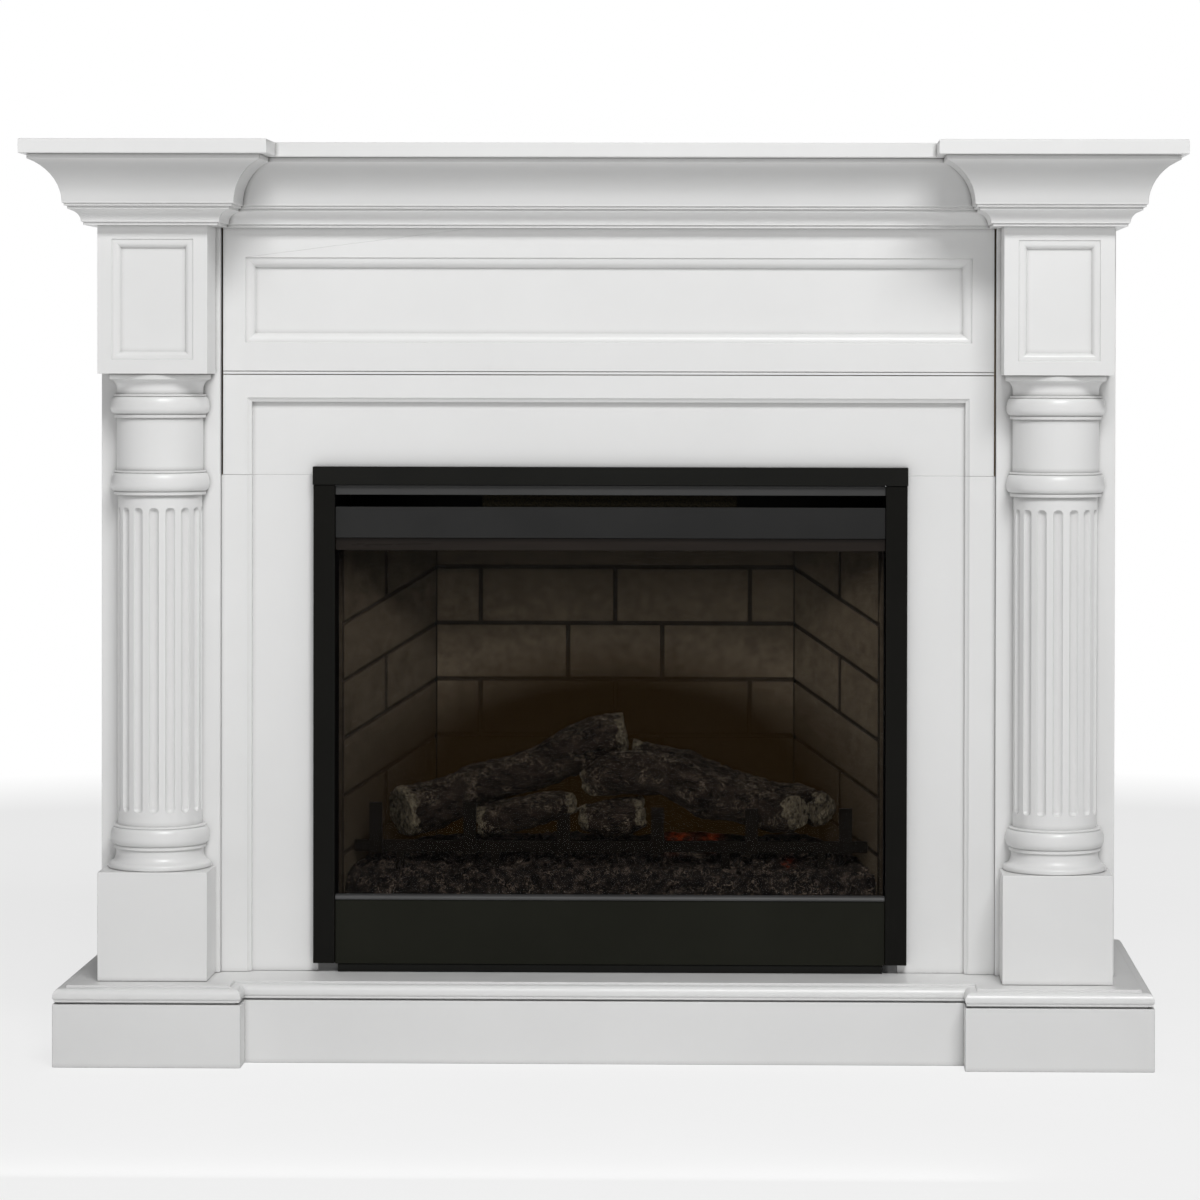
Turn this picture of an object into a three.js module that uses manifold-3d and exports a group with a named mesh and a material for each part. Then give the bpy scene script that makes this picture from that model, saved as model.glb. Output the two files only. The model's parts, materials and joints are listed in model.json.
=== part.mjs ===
// A fireplace mantelpiece of painted board: stepped shelf, coved cornice, fluted half columns and
// a raised base, with an electric firebox standing in its opening.
// Millimetres. +Z is up, the front faces -Y and the back stands against a wall at +Y.
// The origin is on the floor, under the middle of the object's box.

import * as THREE from "three";
import { mergeVertices } from "three/addons/utils/BufferGeometryUtils.js";
import Module from "manifold-3d";

// Overall size
const WIDTH = 1400;
const DEPTH = 510;
const HEIGHT = 1120;
const GAP = 0.3; // left between two pieces that touch
const BOARD = 18; // thickness of the boards

// Planes from the front of the shelf to the wall
const BACK = DEPTH / 2;
const SHELF_OVERHANG = 82; // shelf beyond the frieze blocks, at the front and the ends
const BLOCK_FRONT = -DEPTH / 2 + SHELF_OVERHANG;
const BLOCK_DEPTH = 75;
const PILASTER_FRONT = BLOCK_FRONT + BLOCK_DEPTH;
const PANEL_FRONT = PILASTER_FRONT + 11; // frieze and leg panels
const SINK = 11; // depth of the sunk fields in them
const FIELD_FRONT = PANEL_FRONT + SINK;
const STEP = PANEL_FRONT - BLOCK_FRONT; // how far the cornice steps back between the blocks

// Blocks, pilasters and columns, measured from the middle of the front
const BLOCK_OUTER = WIDTH / 2 - SHELF_OVERHANG;
const BLOCK_WIDTH = 134;
const BLOCK_INNER = BLOCK_OUTER - BLOCK_WIDTH;
const COLUMN_X = (BLOCK_OUTER + BLOCK_INNER) / 2;
const PILASTER_OUTER = 625;
const PILASTER_INNER = 478.6;
const PANEL_EDGE = 476.4;
const COLUMN = {
  axisY: BLOCK_FRONT + 64,
  footRadius: 63,
  scotiaRadius: 53.6,
  ringRadius: 60.6,
  filletRadius: 56.6,
  shaftRadius: 51.6,
  drumRadius: 53,
  capRadius: 62,
  flutes: 16,
  fluteWidth: 12.6,
  fluteBottom: 300.9,
  fluteTop: 674.5,
};

// Heights
const SHELF_THICK = 18;
const SHELF_UNDER = HEIGHT - SHELF_THICK;
const BLOCK_BOTTOM = 838.2;
const CORNICE_BOTTOM = 1018.6;
const PLINTH_TOP = 230.8;
const BASE_TOP = 97.6;
const BASE_CAP = 21; // thickness of the base's top board
const FRIEZE_SPLIT = 837.6; // joint between the upper and the lower frieze panel
const OPENING_TOP = 713.7;
const OPENING_HALF = 359;

// The sunk field that runs over the opening and down both legs, and its edge as [inset, depth]
const FIELD_HALF = 446.5;
const FIELD_TOP = 809.1;
const FIELD_EDGE = [
  [0, 0],
  [2.2, 2.4],
  [4, 3],
  [5.3, 3.8],
  [5.3, SINK],
];

// Base
const BASE_OVERHANG = 47; // beyond the plinth blocks
const BASE_STEP = 42; // how far the base steps back between them

// Firebox
const FIREBOX_X = 3; // it stands this far right of the middle
const SHEET = 2;
const TRIM_HALF = 367;
const TRIM_STILE = 26.5;
const TRIM_TOP = 723.8;
const TRIM_TOP_BAR = 22.4;
const TRIM_BOTTOM = 109;
const TRIM_DEPTH = 14;
const CASE_HALF = 346;
const CASE_BACK = 140;
const CASE_TOP = 694;
const CASE_BOTTOM = 108;
const GLASS_BOTTOM = 194;
const GLASS_TOP = 620;
const HOOD_BOTTOM = 635.7;
const HOOD_TOP = 674.1;
const LOUVRE_BOTTOM = 689;
const BRICK_BACK_Y = 69;
const BRICK_BACK_HALF = 227.5;
const BRICK_FRONT_Y = -68;
const BRICK_FRONT_HALF = 331;
const BRICK_TOP = 593.1; // highest level joint on the back wall
const BRICK_SLAB_TOP = 640;
const BRICK_COURSE = 71.5;
const BRICK_LENGTH = 171.5;
const BRICK_THICK = 10;
const BRICK_FALL = 65; // the courses on the side walls drop this much towards the front
const MORTAR = 5;
const MORTAR_DEPTH = 2.5;

// Grate: uprights in front of a bar, on feet that stand in the embers
const GRATE = {
  half: 300,
  front: -65,
  thick: 6,
  barHalf: 319,
  barLow: 244.5,
  barHigh: 258.5,
  uprightWide: 16,
  uprightLow: 243,
  uprightTops: [306, 306, 292, 300, 299, 300],
  feet: [-262, -144, 143, 262],
  footWide: 10,
  footLow: 219,
};

// The embers' height at each depth, as [y, z]
const EMBER_ROWS = [[-73, 193], [-68, 208], [-62, 221], [-46, 230], [-15, 240], [20, 251], [58, 253]];

// Each log's middle line from the left, as [x, y, z, radius] points
const LOGS = {
  log_left: [
    [-262, -32, 290, 32],
    [-241, -19, 294, 31],
    [-218, -13, 299, 30],
    [-187, -8, 314, 28],
    [-155, -4, 326, 27],
    [-123, -1, 335, 24.5],
    [-91, 3, 345, 25.5],
    [-64, 6, 356, 28],
    [-38, 10, 371, 31],
    [-12, 13, 379, 30],
    [14, 15, 383, 29],
  ],
  log_right: [
    [-28, -18, 325, 18],
    [-8, -28, 338, 23],
    [15, -30, 343, 27],
    [46, -31, 340, 26],
    [73, -31, 337, 25.5],
    [100, -30, 323, 28.5],
    [123, -29, 314, 29],
    [147, -29, 306, 26],
    [174, -29, 300, 23.5],
    [195, -31, 293, 24.5],
    [215, -37, 289, 25],
    [234, -50, 295, 20.5],
  ],
  log_rear: [
    [26, 18, 360, 16],
    [78, 18, 352, 17],
    [129, 20, 329, 17],
    [160, 21, 316, 18],
    [188, 22, 307, 20],
    [222, 19, 301, 22],
    [247, 3, 298, 21.5],
    [265, -17, 294, 19.5],
  ],
  log_short_left: [
    [-165, -30, 277, 18],
    [-121, -31, 286, 22.5],
    [-76, -30, 299, 18.5],
    [-47, -31, 303, 11],
  ],
  log_short_right: [
    [-38, -28, 281, 14],
    [-14, -29, 283, 22],
    [8, -29, 283.5, 25],
    [39, -28, 290, 18],
  ],
};

const white = new THREE.MeshStandardMaterial({ color: 0xe6e6e5, roughness: 0.38, metalness: 0 });
const raw = new THREE.MeshStandardMaterial({ color: 0xb79a74, roughness: 0.8, metalness: 0 });
const black = new THREE.MeshStandardMaterial({ color: 0x17181a, roughness: 0.45, metalness: 0.4 });
const smoked = new THREE.MeshStandardMaterial({
  color: 0x1c1a18,
  roughness: 0.05,
  metalness: 0,
  transparent: true,
  opacity: 0.35,
});
const brick = new THREE.MeshStandardMaterial({ color: 0x3a332c, roughness: 0.9, metalness: 0 });
const iron = new THREE.MeshStandardMaterial({ color: 0x121212, roughness: 0.7, metalness: 0.3 });
const char = new THREE.MeshStandardMaterial({ color: 0x2b2622, roughness: 0.95, metalness: 0 });
const ember = new THREE.MeshStandardMaterial({ color: 0x1d1917, roughness: 0.9, metalness: 0 });

const wasm = await Module();
wasm.setup();

const mantel = new THREE.Group();

function add(name, geometry, material) {
  const mesh = new THREE.Mesh(geometry, material);
  mesh.name = name;
  mantel.add(mesh);
}

// Solids for joining and cutting

function toSolid(geometry) {
  const bare = geometry.clone();
  bare.deleteAttribute("normal");
  bare.deleteAttribute("uv");
  const merged = mergeVertices(bare, 1e-4);
  const triangles = [];
  for (let i = 0; i < merged.index.count; i += 3) {
    const [a, b, c] = [0, 1, 2].map((k) => merged.index.getX(i + k));
    if (a !== b && b !== c && c !== a) {
      triangles.push(a, b, c);
    }
  }
  return new wasm.Manifold(new wasm.Mesh({
    numProp: 3,
    vertProperties: new Float32Array(merged.attributes.position.array),
    triVerts: new Uint32Array(triangles),
  }));
}

function toGeometry(solid) {
  const mesh = solid.getMesh();
  const geometry = new THREE.BufferGeometry();
  geometry.setAttribute("position", new THREE.BufferAttribute(mesh.vertProperties, 3));
  geometry.setIndex(new THREE.BufferAttribute(mesh.triVerts, 1));
  geometry.computeVertexNormals();
  return geometry;
}

function cut(geometry, cutters) {
  return toGeometry(cutters.reduce((solid, cutter) => solid.subtract(toSolid(cutter)), toSolid(geometry)));
}

function join(parts) {
  return toGeometry(parts.slice(1).reduce((solid, part) => solid.add(toSolid(part)), toSolid(parts[0])));
}

// Basic forms

function box(x0, x1, y0, y1, z0, z1) {
  const geometry = new THREE.BoxGeometry(x1 - x0, y1 - y0, z1 - z0);
  return geometry.translate((x0 + x1) / 2, (y0 + y1) / 2, (z0 + z1) / 2);
}

// The same, between two places across the front given in either order
function spanX(xa, xb, y0, y1, z0, z1) {
  return box(Math.min(xa, xb), Math.max(xa, xb), y0, y1, z0, z1);
}

// The corners of a rectangle that faces the front, at a depth y, drawn in by inset
function frontRect(x0, x1, z0, z1, y, inset = 0) {
  return [
    [x0 + inset, y, z0 + inset],
    [x1 - inset, y, z0 + inset],
    [x1 - inset, y, z1 - inset],
    [x0 + inset, y, z1 - inset],
  ];
}

// A closed body through rings that have the same number of corners. The end rings are closed
// by the triangles of flat, an outline with the same corners in two dimensions.
function loft(rings, flat) {
  const count = rings[0].length;
  const position = rings.flat(2);
  const index = [];
  for (let ring = 0; ring + 1 < rings.length; ring += 1) {
    for (let i = 0; i < count; i += 1) {
      const a = ring * count + i;
      const b = ring * count + ((i + 1) % count);
      index.push(a, b, b + count, a, b + count, a + count);
    }
  }
  const outline = flat.map(([u, v]) => new THREE.Vector2(u, v));
  const clockwise = THREE.ShapeUtils.isClockWise(outline);
  const last = (rings.length - 1) * count;
  for (const face of THREE.ShapeUtils.triangulateShape(outline, [])) {
    const [a, b, c] = clockwise ? [...face].reverse() : face;
    index.push(a, c, b);
    index.push(last + a, last + b, last + c);
  }
  const geometry = new THREE.BufferGeometry();
  geometry.setAttribute("position", new THREE.Float32BufferAttribute(position, 3));
  geometry.setIndex(index);
  return facingOut(geometry);
}

function facingOut(geometry) {
  if (signedVolume(geometry) < 0) {
    geometry.setIndex(Array.from(geometry.index.array).reverse());
  }
  geometry.computeVertexNormals();
  return geometry;
}

function signedVolume(geometry) {
  const position = geometry.attributes.position;
  const corners = [new THREE.Vector3(), new THREE.Vector3(), new THREE.Vector3()];
  let volume = 0;
  for (let i = 0; i < geometry.index.count; i += 3) {
    corners.forEach((corner, k) => corner.fromBufferAttribute(position, geometry.index.getX(i + k)));
    volume += corners[0].dot(corners[1].cross(corners[2])) / 6;
  }
  return volume;
}

// Points on an arc of an ellipse, from one angle to another, in degrees
function arc(u, v, radiusU, radiusV, from, to, steps) {
  return Array.from({ length: steps + 1 }, (_, i) => {
    const angle = THREE.MathUtils.degToRad(from + ((to - from) * i) / steps);
    return [u + radiusU * Math.cos(angle), v + radiusV * Math.sin(angle)];
  });
}

// The outline in plan that the cornice, the shelf and the base all follow: out round each block
// and back between them. Growing it moves every face but the back outwards.
function breakfront(outer, inner, front, step, grow) {
  const half = [
    [outer + grow, BACK],
    [outer + grow, front - grow],
    [inner - grow, front - grow],
    [inner - grow, front + step - grow],
  ];
  return [...half, ...half.map(([x, y]) => [-x, y]).reverse()];
}

// A board whose edge follows a profile of [grow, height] points all round a plan outline
function profiledBoard(profile, outline) {
  const rings = profile.map(([grow, z]) => outline(grow).map(([x, y]) => [x, y, z]));
  return loft(rings, outline(0));
}

// Shelf

function makeShelf() {
  const arris = 1.2;
  const profile = [
    [-arris, SHELF_UNDER],
    [0, SHELF_UNDER + arris],
    [0, HEIGHT - arris],
    [-arris, HEIGHT],
  ];
  const outline = (grow) =>
    breakfront(WIDTH / 2, BLOCK_INNER - SHELF_OVERHANG, -DEPTH / 2, STEP, grow);
  add("shelf_slab", profiledBoard(profile, outline), white);
}

// Cornice: [projection, height] points, from the wall plane of the blocks outwards

function corniceProfile() {
  const coveRadius = 55;
  const coveFoot = 1044.6;
  const coveOut = 37;
  const coveEnd = 180 - Math.asin(51.6 / coveRadius) * THREE.MathUtils.RAD2DEG;
  const smallRadius = 14.3;
  const smallFoot = 1022.3;
  const smallOut = 17;
  return [
    [GAP, CORNICE_BOTTOM],
    [14.7, CORNICE_BOTTOM],
    [14.7, smallFoot - 0.6],
    ...arc(smallOut + smallRadius, smallFoot, smallRadius, smallRadius, 180, 104, 5),
    [31.3, 1037.6],
    [31.3, 1040.6],
    [34.8, 1041.4],
    [34.8, coveFoot - 0.8],
    ...arc(coveOut + coveRadius, coveFoot, coveRadius, coveRadius, 180, coveEnd, 9),
    [73, SHELF_UNDER - GAP],
    [GAP, SHELF_UNDER - GAP],
  ];
}

// One straight length. start and end give the plan point of a projection at each end, which
// cuts the mitres.
function corniceLength(start, end) {
  const profile = corniceProfile();
  const rings = [start, end].map((place) => profile.map(([out, z]) => [...place(out), z]));
  return loft(rings, profile);
}

function makeCornice() {
  const mitre = GAP / 2;
  for (const [side, sign] of [["left", -1], ["right", 1]]) {
    const outerX = (out) => sign * (BLOCK_OUTER + out);
    const innerX = (out) => sign * (BLOCK_INNER - out);
    const front = (out) => BLOCK_FRONT - out;
    const along = corniceLength(
      (out) => [outerX(out), BACK],
      (out) => [outerX(out), front(out) + mitre],
    );
    // Its back is rebated where the pilaster board and the side panel stand out past the block
    const rebate = spanX(
      sign * (BLOCK_OUTER - 1), sign * (PILASTER_OUTER + GAP),
      PILASTER_FRONT - GAP, BACK + 1, CORNICE_BOTTOM - 1, HEIGHT,
    );
    add(`cornice_${side}_return`, cut(along, [rebate]), white);
    const facing = corniceLength(
      (out) => [outerX(out) - sign * mitre, front(out)],
      (out) => [innerX(out) + sign * mitre, front(out)],
    );
    add(`cornice_${side}_front`, facing, white);
    // The short length back to the centre passes the pilaster board with a rebate too
    const inner = corniceLength(
      (out) => [innerX(out), front(out) + mitre],
      (out) => [innerX(out), front(out) + STEP - mitre],
    );
    const notch = spanX(
      sign * (PILASTER_INNER - GAP), sign * (BLOCK_INNER + 1),
      PILASTER_FRONT - GAP, BACK, CORNICE_BOTTOM - 1, HEIGHT,
    );
    add(`cornice_${side}_inner`, cut(inner, [notch]), white);
  }
  const centre = corniceLength(
    (out) => [-(BLOCK_INNER - out - mitre), PANEL_FRONT - out],
    (out) => [BLOCK_INNER - out - mitre, PANEL_FRONT - out],
  );
  const ends = [-1, 1].map((sign) => spanX(
    sign * (PILASTER_INNER - GAP), sign * (BLOCK_INNER + 1),
    PILASTER_FRONT - GAP, BACK, CORNICE_BOTTOM - 1, HEIGHT,
  ));
  add("cornice_centre", cut(centre, ends), white);
}

// Sunk panels: a step, a rounded ovolo and a small step down to the field, as [inset, depth] points

function sunkProfile(width, depth, steps) {
  const step = depth * 0.18;
  const round = width * 0.76;
  const fall = depth - 2 * step;
  return [
    [0, 0],
    [width * 0.06, step],
    ...arc(width * 0.18, step + fall, round, fall, -90, 0, steps),
    [width, depth - step * 0.6],
    [width, depth],
  ];
}

function sunkBoard(x0, x1, z0, z1, front, back, frame) {
  const profile = sunkProfile(frame.width, frame.depth, 4);
  const rings = [
    frontRect(x0, x1, z0, z1, back),
    frontRect(x0, x1, z0, z1, front),
    ...profile.map(([inset, depth]) =>
      frontRect(frame.x0, frame.x1, frame.z0, frame.z1, front + depth, inset)),
  ];
  return loft(rings, frontRect(0, 1, 0, 1, 0).map(([x, , z]) => [x, z]));
}

function makeFriezeBlocks() {
  const margin = 17.4;
  const frameBottom = 855;
  const frameTop = 1002.2;
  for (const [side, sign] of [["left", -1], ["right", 1]]) {
    const x0 = sign * COLUMN_X - BLOCK_WIDTH / 2;
    const x1 = x0 + BLOCK_WIDTH;
    const frame = { x0: x0 + margin, x1: x1 - margin, z0: frameBottom, z1: frameTop, width: 10.5, depth: 8 };
    const block = sunkBoard(
      x0, x1, BLOCK_BOTTOM, SHELF_UNDER - GAP, BLOCK_FRONT, PILASTER_FRONT - GAP, frame,
    );
    add(`frieze_block_${side}`, block, white);
  }
}

function makePlinthBlocks() {
  for (const [side, sign] of [["left", -1], ["right", 1]]) {
    const x0 = sign * COLUMN_X - BLOCK_WIDTH / 2;
    const block = box(
      x0, x0 + BLOCK_WIDTH, BLOCK_FRONT, PILASTER_FRONT - GAP, BASE_TOP + GAP, PLINTH_TOP,
    );
    add(`plinth_block_${side}`, block, white);
  }
}

// Columns: turned as [radius, height] points, cut flat against the pilaster, with flutes cut in

// A ring with its widest part low down, between a fillet below and one above
function ring(bottom, top, radius) {
  const fillet = COLUMN.filletRadius;
  const widest = bottom + 8 + (top - bottom - 10) * 0.28;
  return [
    [radius, bottom],
    [fillet - 0.6, bottom + 0.8],
    [fillet - 0.6, bottom + 4.6],
    ...arc(fillet - 1, widest, COLUMN.ringRadius - fillet + 1, widest - bottom - 5.2, -78, 0, 2),
    ...arc(fillet - 1, widest, COLUMN.ringRadius - fillet + 1, top - 2.6 - widest, 24, 72, 2),
    [fillet, top - 2.4],
    [fillet, top],
  ];
}

function columnProfile() {
  const { footRadius, scotiaRadius, shaftRadius, drumRadius, capRadius } = COLUMN;
  const foot = PLINTH_TOP + GAP;
  const top = BLOCK_BOTTOM - GAP;
  const scotiaTop = 250;
  return [
    [0, foot],
    [footRadius, foot],
    [footRadius, foot + 4.6],
    [footRadius - 1.6, foot + 6.8],
    ...arc(footRadius - 1.6, scotiaTop, footRadius - 1.6 - scotiaRadius, scotiaTop - foot - 7.4, 255, 180, 4),
    ...ring(254.9, 284.2, scotiaRadius),
    [shaftRadius, 284.6],
    ...ring(689.2, 719.4, shaftRadius),
    [drumRadius, 719.8],
    ...ring(783.8, 813, drumRadius),
    [drumRadius, 813.4],
    ...arc(capRadius - 1.4, 819, capRadius - 1.4 - drumRadius, 11.6, 180, 102, 4),
    [capRadius, 831.8],
    [capRadius, top],
    [0, top],
  ];
}

function makeColumns() {
  const { axisY, footRadius, shaftRadius, flutes, fluteWidth, fluteBottom, fluteTop } = COLUMN;
  const profile = columnProfile().map(([radius, z]) => new THREE.Vector2(radius, z));
  const segments = 32;
  const turned = facingOut(
    new THREE.LatheGeometry(profile, segments).rotateX(Math.PI / 2).rotateZ(Math.PI / segments),
  );
  const clear = footRadius * 2;
  const behind = box(-clear, clear, PILASTER_FRONT - GAP - axisY, clear, 0, HEIGHT);
  const fluteRadius = fluteWidth / 2;
  const centreOut = shaftRadius + 1.2;
  const cutters = [behind];
  for (let i = 0; i < flutes; i += 1) {
    const angle = (i / flutes) * Math.PI * 2;
    if (Math.cos(angle) > -0.3) {
      const length = fluteTop - fluteBottom - fluteWidth;
      const flute = new THREE.CapsuleGeometry(fluteRadius, length, 3, 10, 1).rotateX(Math.PI / 2);
      flute.translate(0, 0, (fluteBottom + fluteTop) / 2);
      cutters.push(flute.translate(centreOut * Math.sin(angle), -centreOut * Math.cos(angle), 0));
    }
  }
  const column = cut(turned, cutters);
  for (const [side, sign] of [["left", -1], ["right", 1]]) {
    add(`column_${side}`, column.clone().translate(sign * COLUMN_X, axisY, 0), white);
  }
}

// Pilaster boards, side panels and back rails

function makePilasters() {
  const bottom = BASE_TOP + GAP;
  const top = SHELF_UNDER - GAP;
  const back = PILASTER_FRONT + BOARD;
  for (const [side, sign] of [["left", -1], ["right", 1]]) {
    const outer = sign * PILASTER_OUTER;
    const board = spanX(sign * PILASTER_INNER, outer, PILASTER_FRONT, back, bottom, top);
    add(`pilaster_board_${side}`, board, white);
    const panel = spanX(outer - sign * BOARD, outer, back + GAP, BACK, bottom, top);
    add(`side_panel_${side}`, panel, white);
  }
  // A thin frame behind closes the joints between these boards and the panels, and between the friezes
  const panelBack = PANEL_FRONT + BOARD;
  const front = panelBack + GAP;
  const rear = panelBack + 3.7;
  const inner = 470;
  const outer = 492;
  const uprights = [-1, 1].flatMap((sign) => [
    spanX(sign * inner, sign * outer, front, rear, bottom, top),
    spanX(sign * 479, sign * outer, back + GAP, rear, bottom, top),
  ]);
  const bar = box(-inner - 1, inner + 1, front, rear, FRIEZE_SPLIT - 8, FRIEZE_SPLIT + 8);
  add("joint_backing", join([...uprights, bar]), raw);
}

function makeRails() {
  const half = PILASTER_OUTER - BOARD - GAP;
  const railHeight = 90;
  add(
    "top_back_rail",
    box(-half, half, BACK - BOARD, BACK, SHELF_UNDER - GAP - railHeight, SHELF_UNDER - GAP),
    raw,
  );
  const baseHalf = BLOCK_OUTER + BASE_OVERHANG - BOARD - GAP;
  add(
    "base_back_rail",
    box(-baseHalf, baseHalf, BACK - BOARD, BACK, 0, BASE_TOP - BASE_CAP - GAP),
    raw,
  );
}

// Frieze and leg panels

function makeFrieze() {
  const back = PANEL_FRONT + BOARD;
  const joint = 0.5;
  const frame = { x0: -449, x1: 449, z0: 877.1, z1: 982.2, width: 12, depth: SINK };
  const upper = sunkBoard(
    -PANEL_EDGE, PANEL_EDGE, FRIEZE_SPLIT + joint, SHELF_UNDER - GAP, PANEL_FRONT, back, frame,
  );
  // A groove just above the lower edge leaves a bead along it
  const grooveZ = FRIEZE_SPLIT + 3.9;
  const grooveDeep = 1.8;
  const grooveHalf = 1.2;
  const grooveRings = [-PANEL_EDGE - 1, PANEL_EDGE + 1].map((x) => [
    [x, PANEL_FRONT - 1, grooveZ - grooveHalf],
    [x, PANEL_FRONT + grooveDeep, grooveZ],
    [x, PANEL_FRONT - 1, grooveZ + grooveHalf],
  ]);
  const groove = loft(grooveRings, [[0, 0], [1, 1], [0, 2]]);
  add("upper_frieze_panel", cut(upper, [groove]), white);

  const below = OPENING_TOP - SINK;
  const fieldRect = (inset, y) =>
    frontRect(-FIELD_HALF + inset, FIELD_HALF - inset, below, FIELD_TOP - inset, y);
  const field = loft(
    [fieldRect(0, PANEL_FRONT - 1), ...FIELD_EDGE.map(([inset, depth]) => fieldRect(inset, PANEL_FRONT + depth))],
    [[0, 0], [1, 0], [1, 1], [0, 1]],
  );
  const lower = box(-PANEL_EDGE, PANEL_EDGE, PANEL_FRONT, back, OPENING_TOP, FRIEZE_SPLIT - joint);
  add("lower_frieze_panel", cut(lower, [field]), white);

  for (const [side, sign] of [["left", -1], ["right", 1]]) {
    const plan = [
      [PILASTER_INNER - GAP, back],
      [PILASTER_INNER - GAP, PANEL_FRONT],
      ...FIELD_EDGE.map(([inset, depth]) => [FIELD_HALF - inset, PANEL_FRONT + depth]),
      [OPENING_HALF, FIELD_FRONT],
      [OPENING_HALF, back],
    ];
    const rings = [BASE_TOP + GAP, OPENING_TOP - GAP].map((z) => plan.map(([x, y]) => [sign * x, y, z]));
    add(`leg_panel_${side}`, loft(rings, plan), white);
  }
}

// Base: a nosed board on a ring of boards

const baseOutline = (grow) =>
  breakfront(
    BLOCK_OUTER + BASE_OVERHANG,
    BLOCK_INNER - BASE_OVERHANG,
    BLOCK_FRONT - BASE_OVERHANG,
    BASE_STEP,
    grow,
  );

function makeBase() {
  const under = BASE_TOP - BASE_CAP;
  const widest = under + 7.6;
  const shoulder = BASE_TOP - 2.8;
  const grooveDeep = 8; // of the shadow line between the cap and the boards under it
  const profile = [
    [-grooveDeep, under],
    [-grooveDeep, under + 1.6],
    [-1.8, under + 2.2],
    ...arc(-7.5, widest, 7.5, widest - under - 3, -40, 0, 2),
    ...arc(-7.5, widest, 7.5, shoulder - widest, 15, 90, 5),
    [-14.4, shoulder + 0.4],
    [-15, BASE_TOP],
  ];
  add("base_cap", profiledBoard(profile, baseOutline), white);

  // Boards with mitred ends, as plan outlines pulled a little apart at the joints
  const outer = baseOutline(0);
  const inner = baseOutline(-BOARD);
  const names = [
    "base_side_right",
    "base_front_right",
    "base_inner_right",
    "base_front_centre",
    "base_inner_left",
    "base_front_left",
    "base_side_left",
  ];
  const top = under - GAP;
  names.forEach((name, i) => {
    const plan = [outer[i], outer[i + 1], inner[i + 1], inner[i]];
    const along = new THREE.Vector2(outer[i + 1][0] - outer[i][0], outer[i + 1][1] - outer[i][1]).normalize();
    const shift = [1, -1, -1, 1].map((s) => (s * GAP) / 2);
    const pulled = plan.map(([x, y], k) => [x + along.x * shift[k], y + along.y * shift[k]]);
    const atWall = pulled.map(([x, y], k) => [x, plan[k][1] === BACK ? BACK : y]);
    add(name, loft([0, top].map((z) => atWall.map(([x, y]) => [x, y, z])), atWall), white);
  });
}

// Firebox

const fx = (x) => x + FIREBOX_X;

function makeCase() {
  const front = FIELD_FRONT + 1;
  const rearSkin = CASE_BACK - SHEET;
  const half = CASE_HALF;
  const skinFront = rearSkin - GAP;
  add("case_bottom", box(fx(-half), fx(half), front, skinFront, CASE_BOTTOM, CASE_BOTTOM + SHEET), black);
  add("case_top", box(fx(-half), fx(half), front, skinFront, CASE_TOP - SHEET, CASE_TOP), black);
  const low = CASE_BOTTOM + SHEET + GAP;
  const high = CASE_TOP - SHEET - GAP;
  add("case_left", box(fx(-half), fx(-half + SHEET), front, skinFront, low, high), black);
  add("case_right", box(fx(half - SHEET), fx(half), front, skinFront, low, high), black);
  // The back covers the rear edges of the other four sheets
  add("case_back", box(fx(-half), fx(half), rearSkin, CASE_BACK, CASE_BOTTOM, CASE_TOP), black);
  // The case stands on a strip along its front and a rail along its back
  const foot = 20;
  const railBack = CASE_BACK - foot / 2;
  const footLow = BASE_TOP + GAP;
  const footHigh = CASE_BOTTOM - GAP;
  const railHalf = half - foot;
  add("case_foot_rail", box(fx(-railHalf), fx(railHalf), railBack - foot, railBack, footLow, footHigh), black);
  const stripHalf = 337;
  const stripFront = FIELD_FRONT - 8;
  add("base_strip", box(fx(-stripHalf), fx(stripHalf), stripFront, FIELD_FRONT + foot, footLow, footHigh), black);
}

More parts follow.
